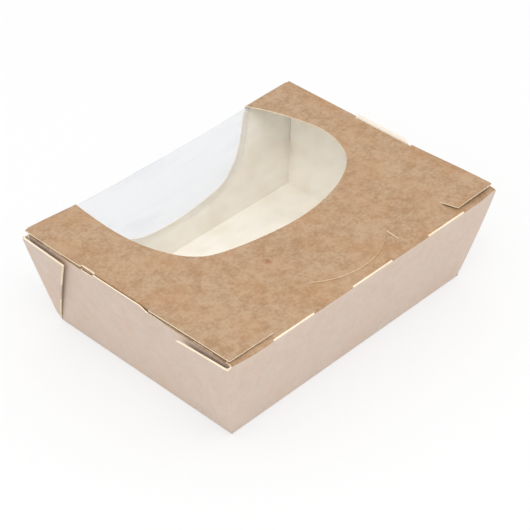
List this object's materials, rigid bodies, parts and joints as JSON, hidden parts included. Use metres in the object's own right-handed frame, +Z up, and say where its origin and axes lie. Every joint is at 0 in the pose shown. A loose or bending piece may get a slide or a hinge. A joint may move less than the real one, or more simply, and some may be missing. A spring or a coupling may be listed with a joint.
{
  "type": "folded takeaway box",
  "caption": "Tapered kraft board takeaway box with webbed corners, a hinged lid held by tuck tabs and a slit lock, and a clear film window over the rear edge",
  "frame": {"origin": "centre of the footprint, on the surface that the box stands on", "axes": "+X along the length to the right, seen from the front with the slit lock; +Y towards the hinge at the rear; +Z up"},
  "size_m": [0.183, 0.136, 0.054],
  "materials": {
    "kraft_board": "uncoated kraft outside, smooth cream coating inside",
    "clear_film": "clear glossy film"
  },
  "bodies": {
    "carton": {"tray": "kraft_board", "rear_film": "clear_film"},
    "cover": {"lid": "kraft_board", "lid_film": "clear_film"}
  },
  "joints": [
    {"name": "lid_hinge", "type": "hinge", "parent": "carton", "child": "cover", "pos_m": [0, 0.0675, 0.053], "axis": [-1, 0, 0], "range_deg": [0, 102]}
  ]
}
